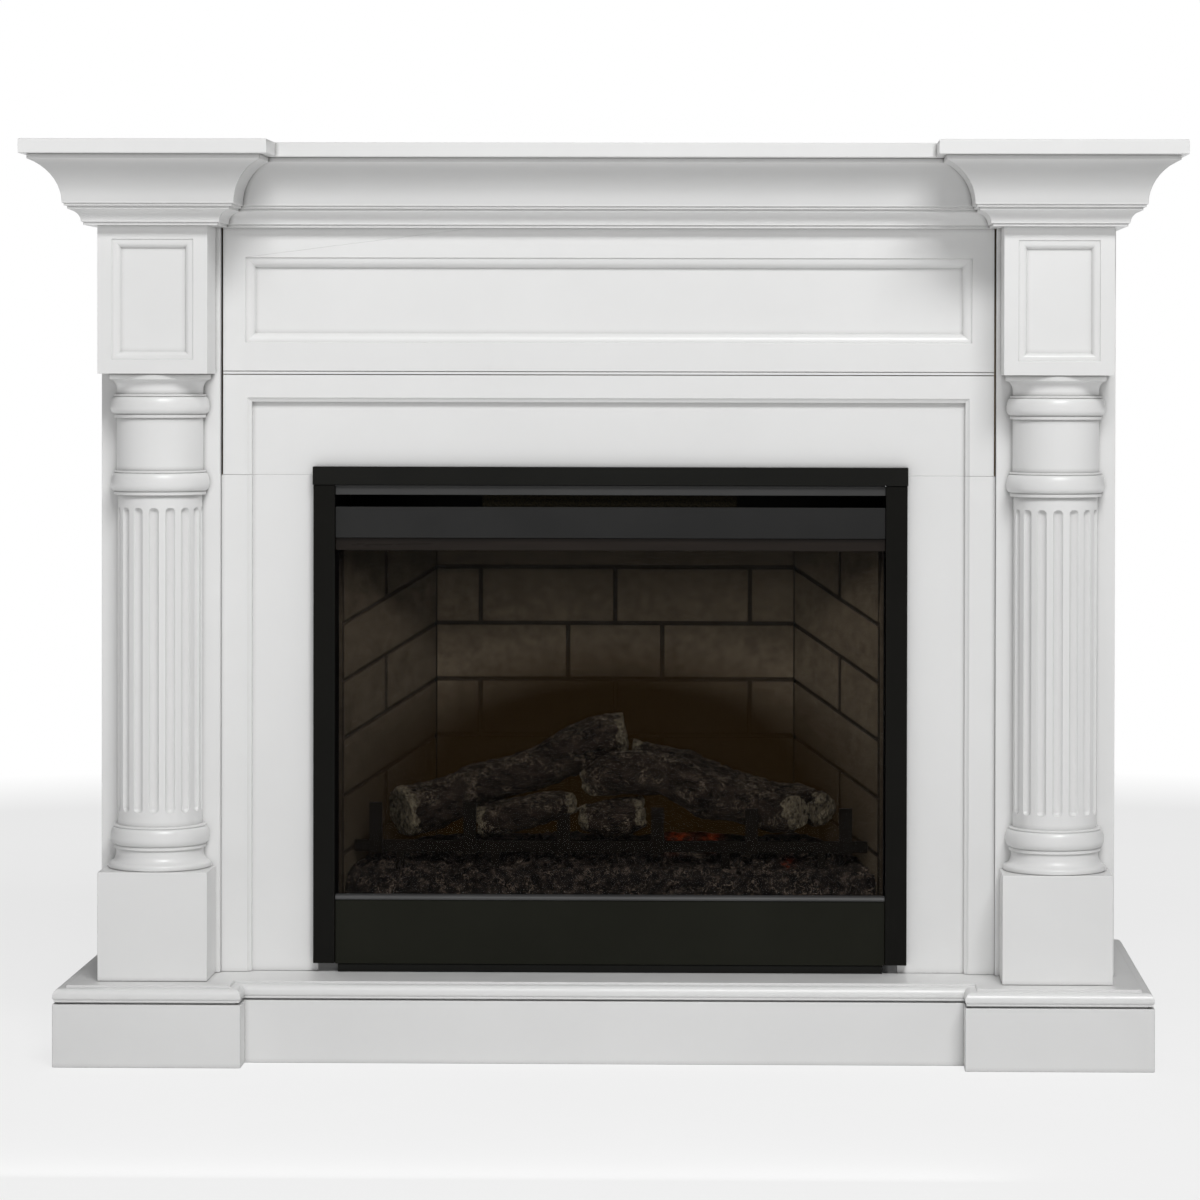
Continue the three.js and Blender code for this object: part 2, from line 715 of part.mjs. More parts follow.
function makeTrim() {
  const rear = FIELD_FRONT - GAP;
  const front = rear - TRIM_DEPTH;
  const barBottom = TRIM_TOP - TRIM_TOP_BAR;
  add("trim_top", box(fx(-TRIM_HALF - 0.8), fx(TRIM_HALF + 0.8), front - 2, rear, barBottom, TRIM_TOP), black);
  const stileTop = barBottom - GAP;
  const inner = TRIM_HALF - TRIM_STILE;
  add("trim_left", box(fx(-TRIM_HALF), fx(-inner), front, rear, TRIM_BOTTOM, stileTop), black);
  add("trim_right", box(fx(inner), fx(TRIM_HALF), front, rear, TRIM_BOTTOM, stileTop), black);
  const half = inner - GAP;
  const setback = front + 4;
  const back = FIELD_FRONT + 0.6;
  add("louvre_strip", box(fx(-half), fx(half), setback, back, LOUVRE_BOTTOM, barBottom - GAP), black);
  add("hood_panel", box(fx(-half), fx(half), setback, back, HOOD_BOTTOM, HOOD_TOP), black);
  add("glass_header", box(fx(-half), fx(half), setback + 5, back, GLASS_TOP + GAP, HOOD_BOTTOM - GAP), black);
  // The outlet's mesh stands behind its slot
  const meshLeft = -159;
  const meshRight = 156;
  add(
    "outlet_grille",
    box(fx(meshLeft), fx(meshRight), back + GAP, back + 2, HOOD_TOP - 4, LOUVRE_BOTTOM + 2),
    iron,
  );
  add("glass_pane", box(fx(-half), fx(half), setback + 6, setback + 10, GLASS_BOTTOM, GLASS_TOP), smoked);
  // The lower panel's top edge is a ledge with a rounded nose, under the glass
  const ledge = GLASS_BOTTOM - GAP;
  const ledgeLow = ledge - 6;
  const nose = [
    [back, ledgeLow],
    [setback - 2, ledgeLow],
    [setback - 2, ledge - 4.2],
    [setback - 1.3, ledge - 2.1],
    [setback + 0.2, ledge - 0.6],
    [setback + 2.2, ledge],
    [back, ledge],
  ];
  const noseRings = [-half, half].map((x) => nose.map(([y, z]) => [fx(x), y, z]));
  const lower = join([
    box(fx(-half), fx(half), setback, back, CASE_BOTTOM, ledgeLow + 0.01),
    loft(noseRings, nose),
  ]);
  add("lower_panel", lower, black);
}

// Brick-pattern liner: three slabs with square mortar grooves

function makeBricks() {
  const bottom = CASE_BOTTOM + SHEET + GAP;
  const face = BRICK_BACK_Y;
  const half = BRICK_BACK_HALF - GAP;
  const rows = Math.floor((BRICK_TOP - bottom) / BRICK_COURSE);
  const cutters = [];
  for (let row = 0; row <= rows; row += 1) {
    const z = BRICK_TOP - row * BRICK_COURSE;
    cutters.push(box(-half - 1, half + 1, face - 1, face + MORTAR_DEPTH, z - MORTAR / 2, z + MORTAR / 2));
  }
  // The upright joints stop short of the slab's lower edge
  const edge = MORTAR / 2 + 1;
  for (let row = 0; row <= rows; row += 1) {
    const top = BRICK_TOP - row * BRICK_COURSE;
    const low = Math.max(BRICK_TOP - (row + 1) * BRICK_COURSE, bottom + edge);
    const joints = row % 2 === 0 ? [-BRICK_LENGTH, 0, BRICK_LENGTH] : [-60, 60];
    for (const x of joints) {
      cutters.push(box(x - MORTAR / 2, x + MORTAR / 2, face - 1, face + MORTAR_DEPTH, low, top));
    }
  }
  const back = box(-half, half, face, face + BRICK_THICK, bottom, BRICK_SLAB_TOP);
  add("brick_back", cut(back, cutters).translate(FIREBOX_X, 0, 0), brick);

  const run = BRICK_FRONT_HALF - BRICK_BACK_HALF;
  const reach = BRICK_BACK_Y - BRICK_FRONT_Y;
  const length = Math.hypot(run, reach);
  const turn = Math.atan2(reach, run);
  // Laid flat first: u along the wall from the back corner, its face at v = 0
  const wall = box(0.5, length, 0, BRICK_THICK, bottom, BRICK_SLAB_TOP);
  const sideCutters = [];
  for (let row = 0; row <= rows; row += 1) {
    const z = BRICK_TOP - row * BRICK_COURSE;
    const slant = [-1, MORTAR_DEPTH].map((v) => [
      [-2, v, z - MORTAR / 2],
      [length + 2, v, z - MORTAR / 2 - BRICK_FALL],
      [length + 2, v, z + MORTAR / 2 - BRICK_FALL],
      [-2, v, z + MORTAR / 2],
    ]);
    sideCutters.push(loft(slant, [[0, 0], [1, 0], [1, 1], [0, 1]]));
  }
  // Every other course has an upright joint half way along
  const middle = 0.55;
  const u = length * middle;
  for (let row = -1; row <= rows; row += 2) {
    const level = BRICK_TOP - row * BRICK_COURSE - BRICK_FALL * middle;
    const top = Math.min(level, BRICK_SLAB_TOP - edge);
    const low = Math.max(level - BRICK_COURSE, bottom + edge);
    if (top > low) {
      sideCutters.push(box(u - MORTAR / 2, u + MORTAR / 2, -1, MORTAR_DEPTH, low, top));
    }
  }
  const flatWall = cut(wall, sideCutters);
  for (const [side, sign] of [["left", -1], ["right", 1]]) {
    const placed = flatWall.clone();
    const matrix = new THREE.Matrix4().makeBasis(
      new THREE.Vector3(sign * Math.cos(turn), -Math.sin(turn), 0),
      new THREE.Vector3(sign * Math.sin(turn), Math.cos(turn), 0),
      new THREE.Vector3(0, 0, 1),
    );
    matrix.setPosition(sign * BRICK_BACK_HALF + FIREBOX_X, BRICK_BACK_Y, 0);
    add(`brick_side_${side}`, facingOut(placed.applyMatrix4(matrix)), brick);
  }
}

// Fire bed: logs on a grate over a bed of embers, all moulded

// A number from 0 to 1 that looks random but depends only on its two seeds
function scatter(a, b) {
  const value = Math.sin(a * 127.1 + b * 311.7) * 43758.5453;
  return value - Math.floor(value);
}

// A log through points of [x, y, z, radius], with an uneven round section
function logShape(points, seed) {
  const sides = 9;
  const places = points.map(([x, y, z]) => new THREE.Vector3(fx(x), y, z));
  const rings = places.map((place, i) => {
    const before = places[Math.max(i - 1, 0)];
    const after = places[Math.min(i + 1, places.length - 1)];
    const along = after.clone().sub(before).normalize();
    const level = new THREE.Vector3(0, 1, 0).cross(along).normalize();
    const across = along.clone().cross(level);
    return Array.from({ length: sides }, (_, k) => {
      const angle = (k / sides) * Math.PI * 2;
      const radius = points[i][3] * (0.95 + 0.1 * scatter(k + seed, i));
      const spoke = level.clone().multiplyScalar(Math.cos(angle) * radius);
      spoke.addScaledVector(across, Math.sin(angle) * radius);
      return place.clone().add(spoke).toArray();
    });
  });
  return loft(rings, arc(0, 0, 1, 1, 0, 360 - 360 / sides, sides - 1));
}

function makeLogs() {
  Object.entries(LOGS).forEach(([name, points], i) => add(name, logShape(points, i * 7), char));
}

function grateFeet(spare) {
  const { front, thick, barLow, feet, footWide, footLow } = GRATE;
  const half = footWide / 2 + spare;
  const near = front + thick - spare;
  const far = front + 2 * thick + spare;
  return feet.map((x) => box(fx(x - half), fx(x + half), near, far, footLow - spare, barLow + 1));
}

function makeGrate() {
  const { half, front, thick, barHalf, barLow, barHigh, uprightWide, uprightLow, uprightTops } = GRATE;
  const pitch = (2 * half - uprightWide) / (uprightTops.length - 1);
  const bar = box(fx(-barHalf), fx(barHalf), front + thick - 0.5, front + 2 * thick, barLow, barHigh);
  const parts = [bar, ...grateFeet(0)];
  uprightTops.forEach((top, i) => {
    const x = -half + i * pitch;
    parts.push(box(fx(x), fx(x + uprightWide), front, front + thick, uprightLow, top));
  });
  add("grate", join(parts), iron);
}

// Embers: a bank of lumps, with pockets for the grate's feet
function makeEmbers() {
  const bottom = CASE_BOTTOM + SHEET + GAP;
  const columns = 22;
  const lump = 7;
  const slope = (BRICK_FRONT_HALF - BRICK_BACK_HALF) / (BRICK_BACK_Y - BRICK_FRONT_Y);
  const rings = EMBER_ROWS.map(([y, height], row) => {
    const half = BRICK_FRONT_HALF - Math.max(0, y - BRICK_FRONT_Y) * slope - 1;
    const top = Array.from({ length: columns + 1 }, (_, i) => {
      const x = half - (2 * half * i) / columns;
      return [fx(x), y, height + lump * (scatter(i, row) - 0.5)];
    });
    return [[fx(-half), y, bottom], [fx(half), y, bottom], ...top];
  });
  const flat = rings[0].map(([x, , z]) => [x, z]);
  add("ember_bed", cut(loft(rings, flat), grateFeet(GAP)), ember);
}

makeShelf();
makeCornice();
makeFriezeBlocks();
makeColumns();
makePlinthBlocks();
makePilasters();
makeFrieze();
makeBase();
makeRails();
makeCase();
makeTrim();
makeBricks();
makeLogs();
makeGrate();
makeEmbers();

export default mantel;
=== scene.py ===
"""Looks of a white painted mantelpiece with a black electric firebox standing in its opening.

Metres, +Z up, the front faces -Y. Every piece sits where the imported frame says.
"""
import json
import math
import random

import bmesh
import bpy
from mathutils import Euler, Matrix, Vector, noise


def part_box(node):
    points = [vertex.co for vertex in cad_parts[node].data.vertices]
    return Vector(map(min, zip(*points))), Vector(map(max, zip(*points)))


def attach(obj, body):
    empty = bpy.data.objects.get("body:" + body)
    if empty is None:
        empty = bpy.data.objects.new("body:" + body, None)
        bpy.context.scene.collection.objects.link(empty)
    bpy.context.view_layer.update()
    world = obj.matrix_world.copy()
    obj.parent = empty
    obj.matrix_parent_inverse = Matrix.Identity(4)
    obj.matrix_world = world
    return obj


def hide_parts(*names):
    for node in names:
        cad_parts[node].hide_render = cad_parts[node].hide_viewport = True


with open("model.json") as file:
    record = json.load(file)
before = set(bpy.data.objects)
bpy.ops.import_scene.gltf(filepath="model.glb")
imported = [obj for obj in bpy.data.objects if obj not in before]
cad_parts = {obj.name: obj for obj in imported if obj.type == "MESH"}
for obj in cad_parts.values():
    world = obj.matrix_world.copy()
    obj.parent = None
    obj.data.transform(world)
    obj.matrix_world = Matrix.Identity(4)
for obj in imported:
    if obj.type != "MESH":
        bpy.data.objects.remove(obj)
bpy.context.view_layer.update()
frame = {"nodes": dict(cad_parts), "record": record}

MM = 0.001
NODES = frame["nodes"]

# The camera looks along +Y from the photograph's place: metres, degrees, and millimetres for the lens
CAMERA_AT = (0.2184, -5.188, 0.8462)
CAMERA_LENS = 123.98
CAMERA_YAW = 0.899
CAMERA_PITCH = 0.717
CAMERA_ROLL = 0.114
CAMERA_SHIFT = (-0.10, -0.15)

# The world's light on the object, and how bright the camera sees it behind the object
WORLD_LIGHT = 0.15
WORLD_SEEN = 1.0

# The floor turns white between these distances from the object, in metres, and the camera sees it
# at least this white everywhere
FLOOR_FADE = (0.9, 3.6)
FLOOR_WHITE = 0.75
FLOOR_HALF = 30

# Painted nodes, and how the names start of the flat panels with faint painted shade in their joints and of
# the thin mouldings
WHITE_NODES = [s["node"] for s in frame["record"]["subparts"] if s["material_slot"] == "white_paint"]
PANELS = ("upper_frieze", "lower_frieze", "leg_panel", "pilaster", "frieze_block")
FINE_EDGED = ("cornice_", "base_cap", "shelf_", "frieze_block", "upper_frieze", "lower_frieze", "leg_panel")

# Steel nodes, and those of them with wide edges painted bright as a highlight
STEEL_NODES = [s["node"] for s in frame["record"]["subparts"] if s["material_slot"] == "black_steel"]
HIGHLIT_NODES = ("hood_panel", "louvre_strip", "lower_panel")

# Edge radii, in metres
FINE_EDGE = 0.3 * MM
BOARD_EDGE = 0.8 * MM
BARE_EDGE = 0.5 * MM
STEEL_EDGE = 0.5 * MM
HIGHLIT_EDGE = 0.9 * MM
BRICK_EDGE = 1.2 * MM

# Edges sharper than this are eased, in degrees, with this many faces across
HARD_ANGLE = 34
EDGE_STEPS = 2

# Points closer than this are one, in metres
WELD = 0.01 * MM

# Paint: the reach of the shade painted into its hollows, and the heights of the cove under the shelf, where
# shade is painted too, in metres
SHADE_REACH = 6 * MM
COVE_SPAN = (1.040, 1.100)

# The lower panel's ledge takes the painted edge highlight above this height, in metres
LEDGE_LOW = 0.1878

# The dark oval on the liner behind the logs, with a faint amber glow painted on, as [x, z] in metres
OVAL_AT = (0.004, 0.308)
OVAL_REACH = (0.275, 0.155)

# The liner's heights between which the header's painted shadow fades in, in metres
HEADER_SHADOW_BAND = (0.535, 0.602)

# Where the embers glow, as [x, z, reach] in metres
EMBER_GLOWS = [(0.086, 0.252, 0.008), (0.125, 0.250, 0.006), (0.222, 0.229, 0.004)]

# Half columns, in millimetres
COLUMN_X = 551
COLUMN_Y = -109
COLUMN_BACK = -98.3
COLUMN_FOOT = 231.1
COLUMN_TOP = 837.9
SHAFT_RADIUS = 51.6
DRUM_RADIUS = 53
FLUTES = 16
FLUTE_RADIUS = 6.3
FLUTE_OUT = SHAFT_RADIUS + 1.2
FLUTE_ENDS = (300.9 + FLUTE_RADIUS, 674.5 - FLUTE_RADIUS)

# Logs: the size and depth of the bark and how far it swells, in metres, and the bark's stretch
BARK_SIZE = 0.022
BARK_DEPTH = 2.8 * MM
BARK_SWELL = 1.2 * MM
BARK_STRETCH = (0.6, 1, 1)
CUT_END = 8 * MM

# Loose embers
LUMPS = 520
LUMP_SIZES = (0.0045, 0.0115)


# Materials

class Shader:
    """A node material under construction: short calls for the nodes that every finish here uses."""

    def __init__(self, name):
        self.material = bpy.data.materials.new(name)
        self.material.use_nodes = True
        self.nodes = self.material.node_tree.nodes
        self.links = self.material.node_tree.links
        self.bsdf = self.nodes["Principled BSDF"]
        self.place = self.nodes.new("ShaderNodeTexCoord").outputs["Object"]

    def feed(self, socket, value):
        if hasattr(value, "is_output"):
            self.links.new(value, socket)
        else:
            socket.default_value = value

    def noise(self, scale, detail=4.0, rough=0.55, stretch=(1, 1, 1)):
        mapping = self.nodes.new("ShaderNodeMapping")
        mapping.inputs["Scale"].default_value = stretch
        self.links.new(self.place, mapping.inputs["Vector"])
        node = self.nodes.new("ShaderNodeTexNoise")
        node.inputs["Scale"].default_value = scale
        node.inputs["Detail"].default_value = detail
        node.inputs["Roughness"].default_value = rough
        self.links.new(mapping.outputs["Vector"], node.inputs["Vector"])
        return node.outputs["Fac"]

    def cells(self, scale):
        node = self.nodes.new("ShaderNodeTexVoronoi")
        node.inputs["Scale"].default_value = scale
        self.links.new(self.place, node.inputs["Vector"])
        return node.outputs["Distance"]

    def ramp(self, value, stops):
        node = self.nodes.new("ShaderNodeValToRGB")
        elements = node.color_ramp.elements
        while len(elements) < len(stops):
            elements.new(0.5)
        for element, (at, color) in zip(elements, stops):
            element.position = at
            element.color = (*color, 1.0) if len(color) == 3 else color
        self.links.new(value, node.inputs["Fac"])
        return node.outputs["Color"]

    def span(self, value, low, high, out_low, out_high):
        node = self.nodes.new("ShaderNodeMapRange")
        keys = ("From Min", "From Max", "To Min", "To Max")
        for key, number in zip(keys, (low, high, out_low, out_high)):
            node.inputs[key].default_value = number
        self.links.new(value, node.inputs["Value"])
        return node.outputs["Result"]

    def math(self, operation, first, second):
        node = self.nodes.new("ShaderNodeMath")
        node.operation = operation
        self.feed(node.inputs[0], first)
        self.feed(node.inputs[1], second)
        return node.outputs[0]

    def blend(self, amount, first, second, mode="MIX"):
        node = self.nodes.new("ShaderNodeMix")
        node.data_type = "RGBA"
        node.blend_type = mode
        self.feed(node.inputs["Factor"], amount)
        self.feed(node.inputs["A"], first)
        self.feed(node.inputs["B"], second)
        return node.outputs["Result"]

    def axis(self, name):
        node = self.nodes.new("ShaderNodeSeparateXYZ")
        self.links.new(self.place, node.inputs[0])
        return node.outputs[name]

    def ellipse(self, at, reach):
        """The squared distance from a point in X and Z, counted in the ellipse's own radii."""
        across = self.math("DIVIDE", self.math("SUBTRACT", self.axis("X"), at[0]), reach[0])
        upward = self.math("DIVIDE", self.math("SUBTRACT", self.axis("Z"), at[1]), reach[1])
        return self.math("ADD", self.math("POWER", across, 2.0), self.math("POWER", upward, 2.0))

    def hollows(self, distance):
        """1 in the open, falling towards 0 in narrow hollows and joints."""
        node = self.nodes.new("ShaderNodeAmbientOcclusion")
        node.samples = 2
        node.inputs["Distance"].default_value = distance
        return node.outputs["AO"]

    def bump(self, height, strength, distance, over=None):
        node = self.nodes.new("ShaderNodeBump")
        node.inputs["Strength"].default_value = strength
        node.inputs["Distance"].default_value = distance
        self.links.new(height, node.inputs["Height"])
        if over is not None:
            self.links.new(over, node.inputs["Normal"])
        return node.outputs["Normal"]

    def finish(self, color, roughness, normal=None, **plain):
        self.feed(self.bsdf.inputs["Base Color"], color)
        self.feed(self.bsdf.inputs["Roughness"], roughness)
        if normal is not None:
            self.links.new(normal, self.bsdf.inputs["Normal"])
        for key, value in plain.items():
            self.bsdf.inputs[key.replace("_", " ")].default_value = value
        return self.material


def paint_material(name, shade_band, cove_shade=None):
    """Satin paint with painted shade in its hollows, stronger higher up, and painted shade in the cove
    under the shelf by the factor given.
    """
    s = Shader(name)
    clouds = s.noise(2.2, 5)
    color = s.ramp(clouds, [(0.3, (0.80, 0.80, 0.795)), (0.7, (0.86, 0.86, 0.855))])
    # Painted shade: the paint darkens in hollows and joints, more strongly higher up
    painted_shade = s.span(s.hollows(SHADE_REACH), *shade_band, 1.0, 0.0)
    painted_shade = s.math("MULTIPLY", painted_shade, s.span(s.axis("Z"), 0.20, 0.80, 0.35, 1.0))
    color = s.blend(painted_shade, color, (0.10, 0.094, 0.09, 1))
    # Painted shade in the cove under the shelf
    if cove_shade is not None:
        height = s.span(s.axis("Z"), *COVE_SPAN, 0.0, 1.0)
        shade = s.ramp(height, [(0.05, (1, 1, 1)), (0.12, (cove_shade + 0.02,) * 3),
                                (0.85, (cove_shade,) * 3), (0.96, (1, 1, 1))])
        color = s.blend(1.0, color, shade, "MULTIPLY")
    roughness = s.span(s.noise(35, 6), 0.3, 0.7, 0.30, 0.42)
    spray = s.bump(s.noise(420, 2), 0.10, 0.0002)
    brushed = s.bump(s.noise(6, 3), 0.05, 0.002, spray)
    return s.finish(color, roughness, brushed, Coat_Weight=0.15, Coat_Roughness=0.2)


def board_material():
    s = Shader("bare_fibreboard")
    fibres = s.noise(260, 6, stretch=(0.25, 1, 1))
    color = s.ramp(fibres, [(0.3, (0.36, 0.25, 0.15)), (0.75, (0.50, 0.37, 0.24))])
    return s.finish(color, s.span(fibres, 0.2, 0.8, 0.7, 0.9), s.bump(fibres, 0.3, 0.0004))


def steel_material(name, low, high, specular=0.06):
    s = Shader(name)
    powder = s.noise(900, 3)
    color = s.ramp(s.noise(5, 5), [(0.3, low), (0.75, high)])
    return s.finish(color, s.span(powder, 0.3, 0.7, 0.38, 0.5), s.bump(powder, 0.12, 0.0002),
                    Specular_IOR_Level=specular)


def header_material():
    s = Shader("smoked_header")
    streaks = s.noise(60, 4, stretch=(0.1, 1, 1))
    color = s.ramp(streaks, [(0.3, (0.012, 0.009, 0.007)), (0.75, (0.020, 0.015, 0.012))])
    return s.finish(color, s.span(streaks, 0.3, 0.7, 0.25, 0.4), s.bump(streaks, 0.1, 0.0003),
                    Specular_IOR_Level=0.15)


def mesh_material():
    s = Shader("outlet_mesh")
    wire = s.cells(420)
    color = s.ramp(wire, [(0.15, (0.001, 0.001, 0.0008)), (0.6, (0.010, 0.008, 0.004))])
    return s.finish(color, s.span(wire, 0, 1, 0.4, 0.7), s.bump(wire, 0.8, 0.001),
                    Specular_IOR_Level=0.04)


def glass_material():
    s = Shader("dark_glass")
    smudges = s.noise(7, 6)
    color = s.ramp(smudges, [(0.35, (0.006, 0.006, 0.006)), (0.8, (0.016, 0.014, 0.012))])
    return s.finish(color, s.span(smudges, 0.3, 0.8, 0.03, 0.09), Alpha=0.03)


def liner_material(name, low, high, pale):
    """Sooty brick or mortar that darkens inside the oval, with painted shade low down, a painted shadow
    under the header and a faint amber glow painted inside the oval.
    """
    s = Shader(name)
    pits = s.noise(70, 8, 0.65)
    tone = s.noise(9, 3)
    color = s.ramp(tone, [(0.3, low), (0.75, high)])
    color = s.blend(s.span(pits, 0.35, 0.75, 0.0, 0.6), color, (*pale, 1))
    # Darker towards the bottom: painted shade near the logs
    darkest = tuple(c * 0.3 for c in low)
    color = s.blend(s.span(s.axis("Z"), 0.28, 0.47, 0.5, 0.0), color, (*darkest, 1))
    # Painted shadow of the header along the top of the liner
    color = s.blend(s.span(s.axis("Z"), *HEADER_SHADOW_BAND, 0.0, 0.66), color, (0.002, 0.0015, 0.001, 1))
    inside = s.span(s.ellipse(OVAL_AT, OVAL_REACH), 0.72, 1.62, 1.0, 0.0)
    color = s.blend(inside, color, (0.0015, 0.001, 0.0005, 1))
    # A faint amber glow painted inside the oval
    painted_glow = s.blend(inside, (0, 0, 0, 1), (0.0075, 0.0036, 0.0006, 1))
    s.feed(s.bsdf.inputs["Emission Color"], painted_glow)
    rough = s.bump(pits, 0.7, 0.002, s.bump(tone, 0.3, 0.004))
    return s.finish(color, s.span(pits, 0.2, 0.8, 0.75, 0.95), rough, Emission_Strength=1.0,
                    Specular_IOR_Level=0.0)


def iron_material(name, low, high):
    s = Shader(name)
    cast = s.noise(300, 5)
    color = s.ramp(s.noise(20, 4), [(0.3, low), (0.8, high)])
    return s.finish(color, s.span(cast, 0.2, 0.8, 0.6, 0.8), s.bump(cast, 0.5, 0.0005),
                    Specular_IOR_Level=0.03)


def creases(s, scale, wide, rough=0.6, stretch=(1, 1, 1)):
    """Thin wandering lines, 1 on the line and 0 beside it."""
    field = s.noise(scale, 3, rough, stretch)
    off = s.math("ABSOLUTE", s.math("SUBTRACT", field, 0.5), 0.0)
    return s.span(off, 0.0, wide, 1.0, 0.0)


def log_material():
    """Dark bark with cracks, with pale thin lines in patches and its upper side lighter, both painted
    highlights.
    """
    s = Shader("charred_bark")
    bark = s.noise(90, 9, 0.75, stretch=(0.55, 1, 1))
    color = s.ramp(bark, [(0.36, (0.007, 0.0048, 0.0034)), (0.54, (0.0175, 0.0120, 0.0085)),
                          (0.72, (0.040, 0.028, 0.020))])
    upward = s.nodes.new("ShaderNodeSeparateXYZ")
    s.links.new(s.nodes.new("ShaderNodeNewGeometry").outputs["Normal"], upward.inputs[0])
    # Painted highlight: the upper side is lighter where light falls from above
    on_top = s.span(upward.outputs["Z"], 0.60, 1.0, 0.0, 0.4)
    top_highlight = s.math("MULTIPLY", on_top, s.span(s.noise(150, 5), 0.48, 0.6, 0.0, 1.0))
    color = s.blend(top_highlight, color, (0.17, 0.14, 0.10, 1))
    # Painted highlights: pale thin lines along the bark's relief, in patches
    patches = s.span(s.noise(55, 4), 0.50, 0.60, 0.0, 0.8)
    bark_glints = s.math("MULTIPLY", creases(s, 110, 0.022, 0.7), patches)
    color = s.blend(bark_glints, color, (0.19, 0.15, 0.105, 1))
    cracks = creases(s, 30, 0.022, 0.7, (0.6, 1, 1))
    color = s.blend(s.math("MULTIPLY", cracks, 0.9), color, (0.0012, 0.001, 0.0008, 1))
    split = s.bump(cracks, -0.9, 0.005)
    return s.finish(color, s.span(bark, 0.2, 0.8, 0.6, 0.85), s.bump(bark, 1.0, 0.006, split),
                    Specular_IOR_Level=0.03)


def cut_wood_material():
    s = Shader("charred_end_grain")
    rings = s.noise(230, 6, 0.75, (1, 1, 0.6))
    color = s.ramp(rings, [(0.38, (0.010, 0.008, 0.006)), (0.52, (0.070, 0.057, 0.038)),
                           (0.66, (0.115, 0.097, 0.066))])
    return s.finish(color, s.span(rings, 0.2, 0.8, 0.75, 0.95), s.bump(rings, 0.7, 0.002),
                    Specular_IOR_Level=0.03)


def ember_material():
    """Ash and char with pale thin lines painted on as glints, glowing in its cracks at a few places."""
    s = Shader("ash_and_embers")
    crust = s.noise(110, 8, 0.72)
    color = s.ramp(crust, [(0.40, (0.0015, 0.0011, 0.0009)), (0.54, (0.011, 0.0080, 0.0062)),
                           (0.70, (0.075, 0.056, 0.043))])
    # Painted highlights: pale thin lines on the lumps
    ember_glints = s.math("MULTIPLY", creases(s, 95, 0.022), s.span(s.noise(60, 4), 0.48, 0.60, 0.0, 0.8))
    color = s.blend(ember_glints, color, (0.19, 0.145, 0.11, 1))
    total = None
    for x, z, reach in EMBER_GLOWS:
        square = s.ellipse((x, z), (reach * 1.8, reach))
        spot = s.math("POWER", 2.72, s.math("MULTIPLY", square, -1.0))
        total = spot if total is None else s.math("ADD", total, spot)
    cracks = s.math("MULTIPLY", total, s.span(s.noise(160, 3), 0.45, 0.6, 0.0, 1.0))
    glow = s.blend(cracks, (0, 0, 0, 1), (0.9, 0.12, 0.015, 1))
    s.feed(s.bsdf.inputs["Emission Color"], glow)
    crinkle = s.bump(crust, 1.0, 0.004)
    return s.finish(color, s.span(crust, 0.2, 0.8, 0.35, 0.6), crinkle, Emission_Strength=0.07,
                    Specular_IOR_Level=0.06)


# Shapes

def new_piece(name, mesh, slot, material, *replaced):
    piece = bpy.data.objects.new(name, mesh)
    bpy.context.scene.collection.objects.link(piece)
    mesh.materials.clear()
    mesh.materials.append(material)
    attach(piece, "root")
    if replaced:
        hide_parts(*replaced)
    return piece


def smooth_by_angle(mesh, degrees):
    """Smooth faces, with the edges sharper than the angle kept hard."""
    form = bmesh.new()
    form.from_mesh(mesh)
    limit = math.radians(degrees)
    for face in form.faces:
        face.smooth = True
    for edge in form.edges:
        edge.smooth = len(edge.link_faces) == 2 and edge.calc_face_angle(0.0) < limit
    form.to_mesh(mesh)
    form.free()


def eased(node, name, slot, material, radius, lip=None):
    """The node's own shape with its flat faces whole again and every sharp edge eased to a radius.

    The eased edges can take a finish of their own. Every corner takes its normal from the larger
    faces that it belonged to before, so that these stay flat up to their edges.
    """
    form = bmesh.new()
    form.from_mesh(NODES[node].data)
    bmesh.ops.remove_doubles(form, verts=form.verts, dist=WELD)
    flat = math.radians(0.5)
    bmesh.ops.dissolve_limit(form, angle_limit=flat, verts=form.verts, edges=form.edges)
    limit = math.radians(HARD_ANGLE)
    hard = [e for e in form.edges if len(e.link_faces) == 2 and e.calc_face_angle(0.0) > limit]
    made = bmesh.ops.bevel(form, geom=hard, offset=radius, offset_type="OFFSET", segments=EDGE_STEPS,
                           profile=0.5, affect="EDGES", clamp_overlap=True, miter_outer="ARC",
                           material=-1 if lip is None else 1)
    rounds = set(made["faces"])
    form.normal_update()
    normals = []
    for vertex in form.verts:
        whole = [f for f in vertex.link_faces if f not in rounds] or list(vertex.link_faces)
        main = max(whole, key=lambda f: f.calc_area()).normal
        total = sum((f.normal * f.calc_area() for f in whole if f.normal.dot(main) > 0.7), Vector())
        normals.append(total.normalized() if total.length > 0 else vertex.normal.copy())
    for face in form.faces:
        face.smooth = True
    mesh = bpy.data.meshes.new(name)
    bmesh.ops.triangulate(form, faces=[f for f in form.faces if len(f.verts) > 4])
    form.to_mesh(mesh)
    form.free()
    mesh.normals_split_custom_set_from_vertices(normals)
    piece = new_piece(name, mesh, slot, material, node)
    if lip is not None:
        mesh.materials.append(lip)
    return piece


def masonry(node, name, brick, mortar):
    """A liner slab whose grooves and front end take the mortar's finish."""
    piece = eased(node, name, "brick_liner", brick, BRICK_EDGE)
    mesh = piece.data
    mesh.materials.append(mortar)
    face = max((p for p in mesh.polygons if p.normal.y < -0.1), key=lambda p: p.area)
    outward = face.normal.copy()
    level = max(v.co.dot(outward) for v in mesh.vertices)
    for polygon in mesh.polygons:
        depth = level - polygon.center.dot(outward)
        in_groove = 0.2 * MM < depth < 4 * MM
        front_end = polygon.normal.y < -0.9 and polygon.normal.dot(outward) < 0.9
        if in_groove or front_end:
            polygon.material_index = 1
    return piece


